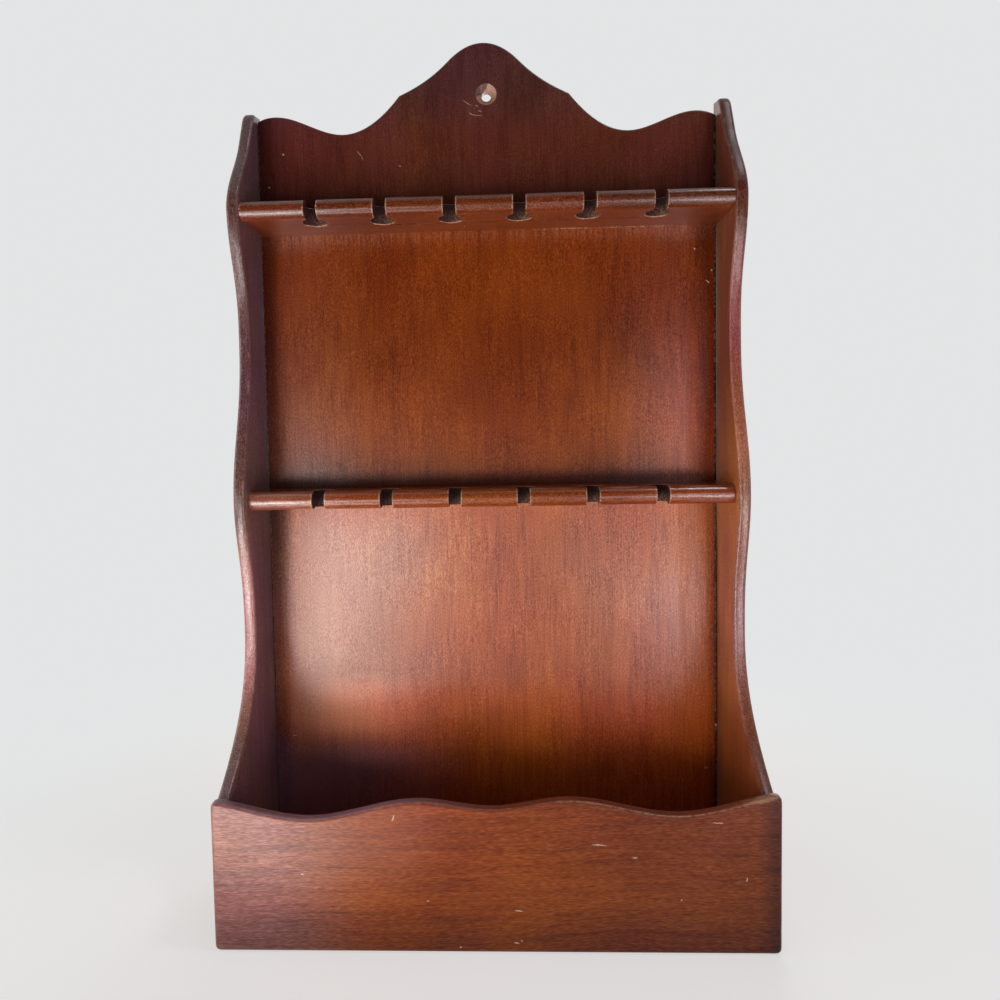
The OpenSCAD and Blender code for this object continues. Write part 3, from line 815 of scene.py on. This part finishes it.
def brad_finish():
    """Material of the brads."""
    material = bpy.data.materials.new("dull_steel")
    g = Graph(material)
    place = g.add("ShaderNodeTexCoord").outputs["Object"]
    rust = g.step(g.noise(place, scale=1400.0, detail=3.0), 0.45, 0.65)
    surface = g.add("ShaderNodeBsdfPrincipled", {
        "Base Color": g.mix(rust, finish().steel, RUST),
        "Metallic": 0.8, "Roughness": g.total(0.4, g.both(rust, 0.3))})
    g.add("ShaderNodeOutputMaterial", {"Surface": surface.outputs[0]})
    return material


# Modelling

# Facets that meet flatter than this are one face
FLAT_ANGLE = math.radians(0.2)
# How far a face may lean and lie off a notch's outline to be one of its walls
WALL_LEAN = 0.02
WALL_OFFSET = 0.1 * MM
# Part of a face's normal that lies through the board, from an edge to a flat
EDGE_LEAN = 0.05
FLAT_LEAN = 0.95
# Height over the underside and distance from a notch within which fibres are torn
TORN_HEIGHT = 0.6 * MM
TORN_REACH = 0.8 * MM


def only(piece):
    """Leaves one object selected and active."""
    bpy.ops.object.select_all(action="DESELECT")
    piece.select_set(True)
    bpy.context.view_layer.objects.active = piece


def board_from_node(node):
    """A copy of a CAD board with its loose triangles merged."""
    mesh = frame["nodes"][node].data.copy()
    piece = bpy.data.objects.new(node + "_finished", mesh)
    bpy.context.scene.collection.objects.link(piece)
    only(piece)
    bpy.ops.object.mode_set(mode="EDIT")
    bpy.ops.mesh.select_all(action="SELECT")
    bpy.ops.mesh.remove_doubles(threshold=shape().merge)
    bpy.ops.mesh.dissolve_limited(angle_limit=FLAT_ANGLE)
    bpy.ops.object.mode_set(mode="OBJECT")
    bpy.ops.mesh.customdata_custom_splitnormals_clear()
    return piece


def mark_wear(piece, worn):
    """Stores 1 on the worn corners of a piece and 0 on the others."""
    layer = piece.data.attributes.new("wear", "FLOAT", "POINT")
    marks = [1.0 if i in worn else 0.0 for i in range(len(piece.data.vertices))]
    layer.data.foreach_set("value", marks)


def routed_corners(piece, through):
    """Corners that lie within the rounding of a board, whose thickness runs along one axis."""
    flat = set()
    rounded = set()
    for face in piece.data.polygons:
        lean = abs(face.normal[through])
        (rounded if EDGE_LEAN < lean < FLAT_LEAN else flat).update(face.vertices)
    return rounded - flat


def from_notch(point):
    """Distance of a point from the nearest notch, seen from above."""
    across = min((point.x - x for x in NOTCH_X), key=abs)
    behind = point.y - EYE_Y
    from_eye = math.hypot(across, behind) - shape().eye_diameter / 2
    return min(from_eye, max(abs(across) - shape().slot_width / 2, behind))


def ease_notches(piece):
    """Bevels the arrises round the notches of a rail."""
    mesh = piece.data
    walls = set()
    for face in mesh.polygons:
        if abs(face.normal.z) < WALL_LEAN and abs(from_notch(face.center)) < WALL_OFFSET:
            walls.add(face.index)
    beside = {}
    for face in mesh.polygons:
        for key in face.edge_keys:
            beside.setdefault(key, []).append(face.index in walls)
    rims = [len(set(beside[edge.key])) == 2 for edge in mesh.edges]
    if not any(rims):
        raise RuntimeError(f"{piece.name} has no notches")
    only(piece)
    bpy.context.tool_settings.mesh_select_mode = (False, True, False)
    bpy.ops.object.mode_set(mode="EDIT")
    bpy.ops.mesh.select_all(action="DESELECT")
    bpy.ops.object.mode_set(mode="OBJECT")
    mesh.edges.foreach_set("select", rims)
    bpy.ops.object.mode_set(mode="EDIT")
    bpy.ops.mesh.bevel(offset=shape().arris, segments=2, affect="EDGES")
    bpy.ops.object.mode_set(mode="OBJECT")


def tear_rims(piece):
    """Roughens the rims of the notches on the underside, where the drill tore the fibres."""
    chance = random.Random(piece.name)
    foot = min(vertex.co.z for vertex in piece.data.vertices)
    reach = shape().tear
    for vertex in piece.data.vertices:
        if vertex.co.z - foot < TORN_HEIGHT and abs(from_notch(vertex.co)) < TORN_REACH:
            vertex.co.z += chance.uniform(0, reach)


def smooth(piece):
    """Shades the curves of a piece smooth and its flats flat."""
    only(piece)
    bpy.ops.object.shade_smooth_by_angle(angle=shape().smooth_angle)
    bpy.ops.object.modifier_add(type="WEIGHTED_NORMAL")
    piece.modifiers[-1].keep_sharp = True
    bpy.ops.object.modifier_apply(modifier=piece.modifiers[-1].name)


def seat(piece, node, material):
    """Gives a finished piece its material and body, and hides its CAD node."""
    piece.data.materials.clear()
    piece.data.materials.append(material)
    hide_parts(node)
    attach(piece, "root")


def board(node, through, material):
    """Makes one routed board, whose thickness runs along the axis through."""
    piece = board_from_node(node)
    mark_wear(piece, routed_corners(piece, through))
    smooth(piece)
    seat(piece, node, material)


class SPOONRACK_OT_back_panel(bpy.types.Operator):
    """Makes the back panel with its scalloped crest"""

    bl_idname = "spoon_rack.back_panel"
    bl_label = "Back Panel"

    def execute(self, context):
        board("back_panel", THROUGH_Y, panel_finish())
        return {"FINISHED"}


class SPOONRACK_OT_sides(bpy.types.Operator):
    """Makes the two contoured sides"""

    bl_idname = "spoon_rack.sides"
    bl_label = "Sides"

    def execute(self, context):
        material = side_finish()
        for node in ("left_side", "right_side"):
            board(node, THROUGH_X, material)
        return {"FINISHED"}


class SPOONRACK_OT_rails(bpy.types.Operator):
    """Makes the two notched rails"""

    bl_idname = "spoon_rack.rails"
    bl_label = "Rails"

    def execute(self, context):
        material = rail_finish()
        for node in ("upper_rail", "lower_rail"):
            piece = board_from_node(node)
            ease_notches(piece)
            tear_rims(piece)
            smooth(piece)
            seat(piece, node, material)
        return {"FINISHED"}


class SPOONRACK_OT_box(bpy.types.Operator):
    """Makes the floor and the waved front of the box"""

    bl_idname = "spoon_rack.box"
    bl_label = "Box"

    def execute(self, context):
        board("box_floor", THROUGH_Z, floor_finish())
        board("box_front", THROUGH_Y, front_finish())
        return {"FINISHED"}


class SPOONRACK_OT_brads(bpy.types.Operator):
    """Finishes the brads in dull steel"""

    bl_idname = "spoon_rack.brads"
    bl_label = "Brads"

    def execute(self, context):
        material = brad_finish()
        for name, node in frame["nodes"].items():
            if name.endswith("_brads"):
                node.data.materials.clear()
                node.data.materials.append(material)
        return {"FINISHED"}


# Stage

FLOOR_SIZE = (12.0, 12.0)
# Distances from the middle of the rack's foot over which the floor fades into the backdrop
FADE_START = 0.16
FADE_END = 0.50
# A dark card behind the camera keeps the upper boards from mirroring a bright room
CARD_SIZE = (1.6, 1.2)
CARD_PLACE = (0, -0.62, 0.85)
CARD_COLOUR = (0.02, 0.02, 0.02)
BLACK = (0, 0, 0)
SENSOR_WIDTH = 36.0
CLIP_START = 0.01

# Lamps of the stage: name, place, target, size, power and colour
PLAIN = (1.0, 0.985, 0.97)
ROSY = (1.0, 0.93, 0.97)
LAMPS = (
    ("left_floor", (-0.20, -0.19, 0.004), (-0.20, -0.19, 1.0), (0.30, 0.17), 0.58, PLAIN),
    ("left_edge", (-0.27, -0.36, 0.004), (-0.27, -0.36, 1.0), (0.12, 0.30), 1.6, PLAIN),
    ("right_edge", (0.29, -0.36, 0.004), (0.29, -0.36, 1.0), (0.12, 0.30), 0.6, ROSY),
    ("left_low", (-0.75, -0.80, 0.16), (0.0, 0.0, 0.15), (0.70, 0.30), 2.2, PLAIN),
    ("left_front", (-0.22, -0.60, 0.08), (0.0, 0.0, 0.15), (0.26, 0.16), 0.75, PLAIN),
    ("left_side", (-1.10, -0.20, 0.35), (0.0, 0.0, 0.15), (0.60, 0.60), 1.85, PLAIN),
    ("right_floor", (0.46, -0.90, 0.004), (0.46, -0.90, 1.0), (0.68, 0.80), 3.8, ROSY),
    ("right_strip", (0.28, -0.42, 0.08), (0.0, 0.0, 0.15), (0.20, 0.15), 0.28, ROSY),
    ("right_front", (0.26, -0.60, 0.29), (0.0, 0.0, 0.25), (0.10, 0.15), 0.15, ROSY),
    ("overhead", (0.40, -0.12, 1.15), (0.0, 0.0, 0.15), (0.18, 0.18), 1.1, ROSY),
    ("behind", (0.25, 1.00, 0.35), (0.0, 0.0, 0.20), (0.80, 0.50), 5.0, PLAIN),
)


def soft_light(name, place, target, size, power, colour):
    """A lamp that faces its target and isn't seen by the camera."""
    bpy.ops.object.light_add(type="AREA", location=place)
    lamp = bpy.context.object
    lamp.name = name
    lamp.rotation_euler = (Vector(target) - Vector(place)).to_track_quat("-Z", "Y").to_euler()
    lamp.data.shape = "RECTANGLE"
    lamp.data.size, lamp.data.size_y = size
    lamp.data.energy = power
    lamp.data.color = colour
    lamp.visible_camera = False


def flat_card(name, size, place, turn):
    """A flat card of the stage, and the empty node tree of its material."""
    bpy.ops.mesh.primitive_plane_add(size=1.0, location=place, rotation=turn)
    card = bpy.context.object
    card.name = name
    card.scale = (*size, 1.0)
    bpy.ops.object.transform_apply(location=True, rotation=True, scale=True)
    material = bpy.data.materials.new(name)
    card.data.materials.append(material)
    return card, Graph(material)


def seen_directly(g):
    """1 for rays of the camera, of reflections and through glass, 0 for the light itself."""
    path = g.add("ShaderNodeLightPath").outputs
    return g.most(path["Is Camera Ray"], path["Is Glossy Ray"], path["Is Transmission Ray"])


class SPOONRACK_OT_stage(bpy.types.Operator):
    """Makes the floor, the lights and the camera"""

    bl_idname = "spoon_rack.stage"
    bl_label = "Stage"

    def execute(self, context):
        stage = context.scene.spoon_rack_stage
        bpy.ops.object.select_all(action="DESELECT")
        self.lay_floor(stage)
        self.stand_card()
        for name, place, target, size, power, colour in LAMPS:
            soft_light(name, place, target, size, power * stage.lamps, colour)
        self.light_world(context, stage)
        self.place_camera(context, stage)
        context.scene.view_settings.view_transform = "Standard"
        return {"FINISHED"}

    def lay_floor(self, stage):
        """A pale floor that keeps the rack's shadow and fades into the backdrop."""
        _, g = flat_card("pale_floor", FLOOR_SIZE, (0, 0, 0), (0, 0, 0))
        away = g.length(g.add("ShaderNodeTexCoord").outputs["Object"])
        fade = g.step(away, FADE_START, FADE_END)
        plain = g.add("ShaderNodeBsdfDiffuse", {"Color": stage.floor}).outputs[0]
        shadowed = g.add("ShaderNodeBsdfDiffuse", {"Color": g.mix(fade, stage.near_floor, BLACK)})
        glow = g.add("ShaderNodeEmission", {"Color": g.mix(fade, stage.near_glow, stage.backdrop)})
        shown = g.add("ShaderNodeAddShader", {0: shadowed.outputs[0], 1: glow.outputs[0]}).outputs[0]
        surface = g.add("ShaderNodeMixShader", {0: seen_directly(g), 1: plain, 2: shown})
        g.add("ShaderNodeOutputMaterial", {"Surface": surface.outputs[0]})

    def stand_card(self):
        """A dark card that the camera doesn't see."""
        card, g = flat_card("dark_card", CARD_SIZE, CARD_PLACE, (math.radians(90), 0, 0))
        card.visible_camera = False
        dark = g.add("ShaderNodeBsdfDiffuse", {"Color": CARD_COLOUR})
        g.add("ShaderNodeOutputMaterial", {"Surface": dark.outputs[0]})

    def light_world(self, context, stage):
        """An even backdrop that lights the rack less than it shows."""
        world = bpy.data.worlds.new("pale_studio")
        context.scene.world = world
        g = Graph(world)
        strength = g.add("ShaderNodeMapRange", {0: seen_directly(g), 3: stage.ambient, 4: 1.0})
        light = g.add("ShaderNodeBackground", {
            "Color": stage.backdrop, "Strength": strength.outputs[0]})
        g.add("ShaderNodeOutputWorld", {"Surface": light.outputs[0]})

    def place_camera(self, context, stage):
        """A camera that stands where the rack fills the frame."""
        bpy.ops.object.camera_add(location=stage.eye, rotation=stage.aim)
        camera = context.object
        camera.data.sensor_width = SENSOR_WIDTH
        camera.data.lens = stage.lens
        camera.data.shift_x, camera.data.shift_y = stage.shift
        camera.data.clip_start = CLIP_START
        context.scene.camera = camera


class SPOONRACK_PT_build(bpy.types.Panel):
    """Buttons that build the rack piece by piece"""

    bl_label = "Spoon Rack"
    bl_idname = "SPOONRACK_PT_build"
    bl_space_type = "VIEW_3D"
    bl_region_type = "UI"
    bl_category = "Spoon Rack"

    def draw(self, context):
        for operator in OPERATORS:
            self.layout.operator(operator.bl_idname)


GROUPS = (SpoonRackShape, SpoonRackFinish, SpoonRackStage)
OPERATORS = (
    SPOONRACK_OT_back_panel, SPOONRACK_OT_sides, SPOONRACK_OT_rails, SPOONRACK_OT_box,
    SPOONRACK_OT_brads, SPOONRACK_OT_stage,
)
CLASSES = (*GROUPS, *OPERATORS, SPOONRACK_PT_build)


def register():
    for cls in CLASSES:
        bpy.utils.register_class(cls)
    bpy.types.Scene.spoon_rack_shape = bpy.props.PointerProperty(type=SpoonRackShape)
    bpy.types.Scene.spoon_rack_finish = bpy.props.PointerProperty(type=SpoonRackFinish)
    bpy.types.Scene.spoon_rack_stage = bpy.props.PointerProperty(type=SpoonRackStage)


def unregister():
    del bpy.types.Scene.spoon_rack_stage
    del bpy.types.Scene.spoon_rack_finish
    del bpy.types.Scene.spoon_rack_shape
    for cls in reversed(CLASSES):
        bpy.utils.unregister_class(cls)


def main():
    register()
    bpy.ops.spoon_rack.back_panel()
    bpy.ops.spoon_rack.sides()
    bpy.ops.spoon_rack.rails()
    bpy.ops.spoon_rack.box()
    bpy.ops.spoon_rack.brads()
    bpy.ops.spoon_rack.stage()


if __name__ == "__main__":
    main()
